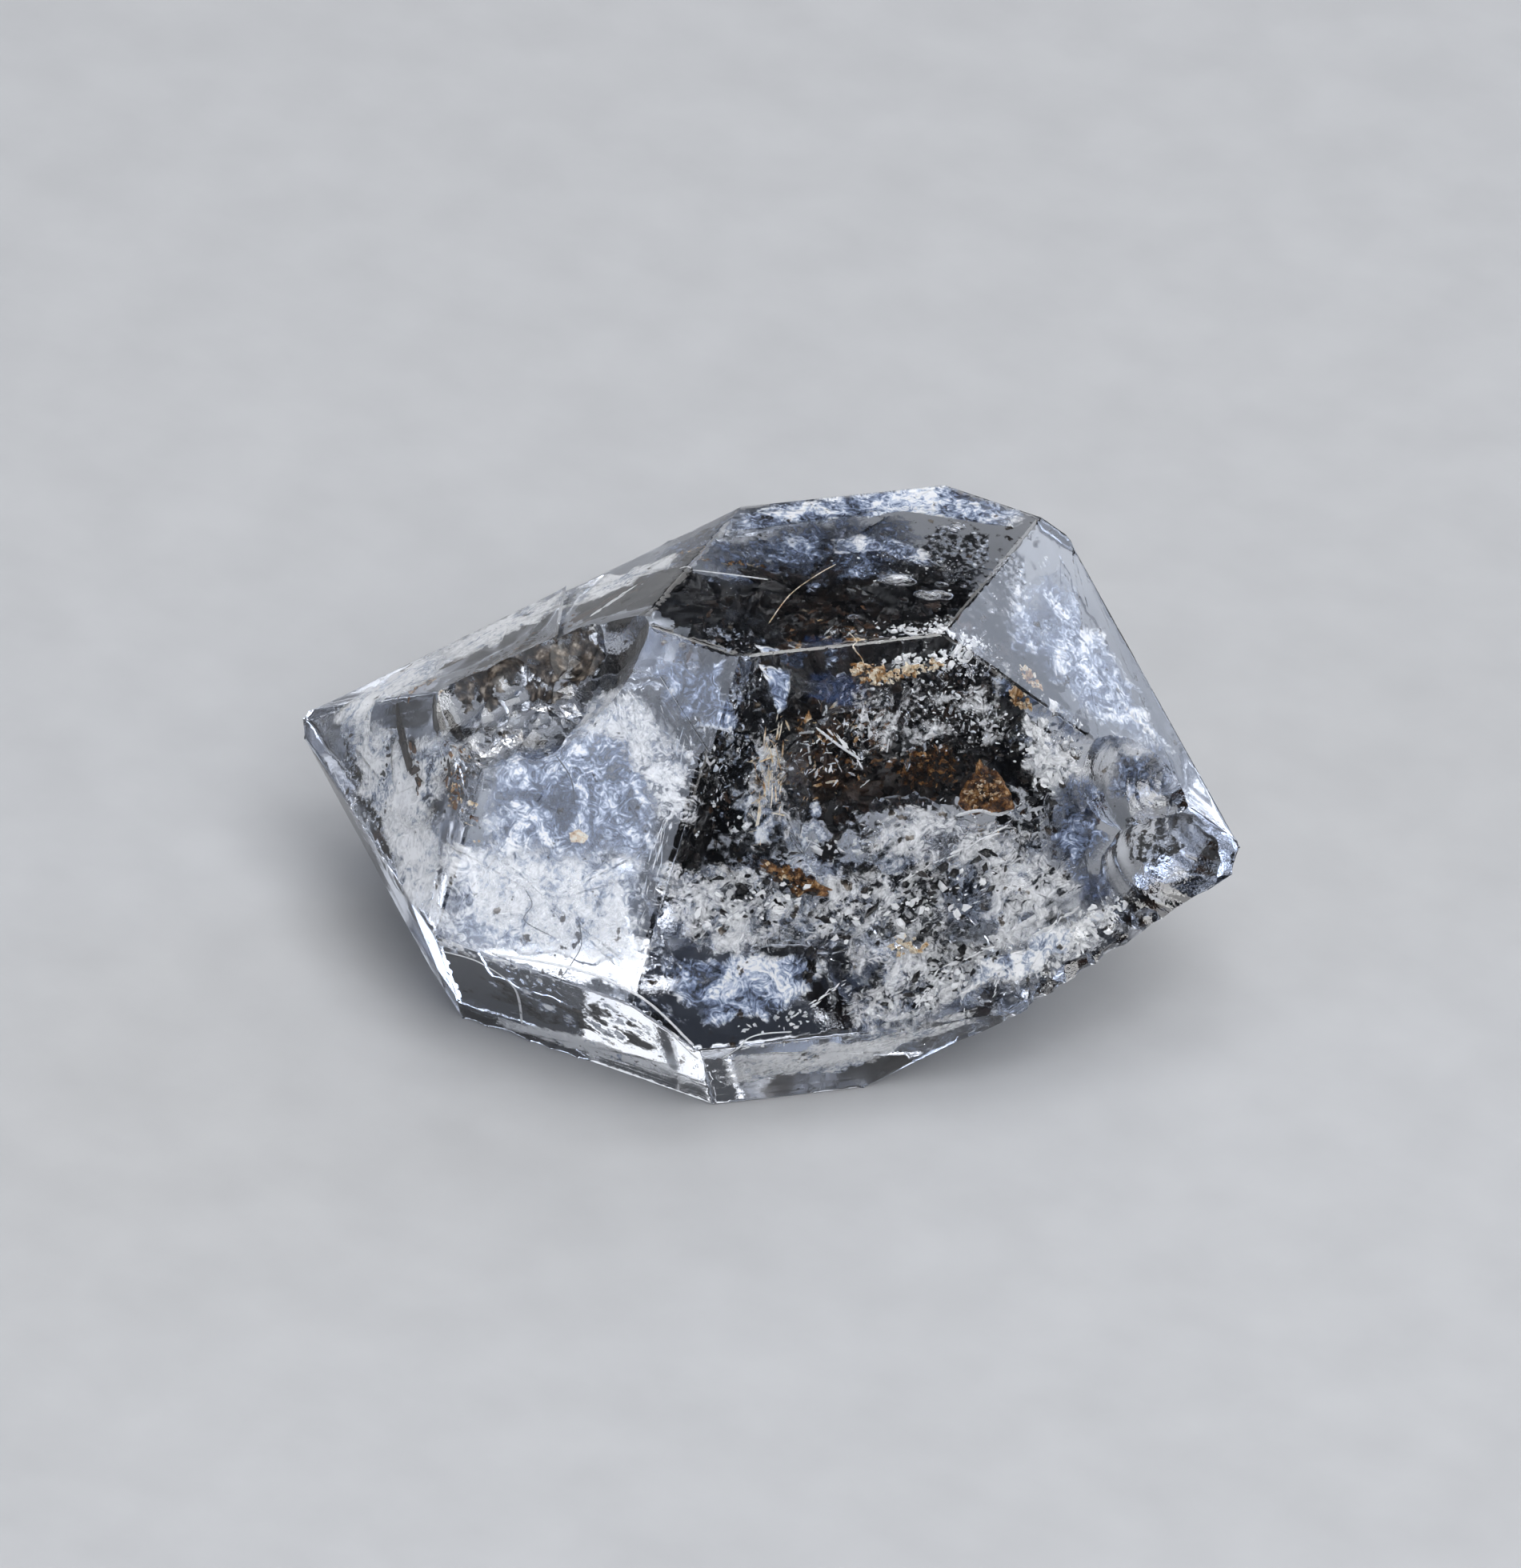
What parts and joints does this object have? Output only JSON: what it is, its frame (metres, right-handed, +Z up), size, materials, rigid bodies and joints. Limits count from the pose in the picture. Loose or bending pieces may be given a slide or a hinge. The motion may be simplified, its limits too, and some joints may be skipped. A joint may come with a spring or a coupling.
{
  "type": "herkimer diamond",
  "caption": "Loose clear quartz crystal, a short six-sided prism with a point at each end, with dark inclusions, chips and one rough contact scar.",
  "frame": {"origin": "in the plane of the resting face, under the middle of the bounding box", "axes": "+X along the crystal's long (c) axis towards the chipped point, +Z up, -Y towards the largest sloping face"},
  "size_m": [0.0148, 0.0102, 0.0074],
  "materials": {
    "quartz": "clear, natural crystal faces with shell-like fractures",
    "dark_inclusions": "black to dark brown carbon and clay flakes sealed in the crystal",
    "iron_stain": "amber to rust-brown films on healed cracks in the crystal",
    "healed_fractures": "white, sparkling veils of healed fractures and tiny bubbles"
  },
  "bodies": {
    "root": {"quartz_crystal": "quartz"}
  },
  "joints": []
}
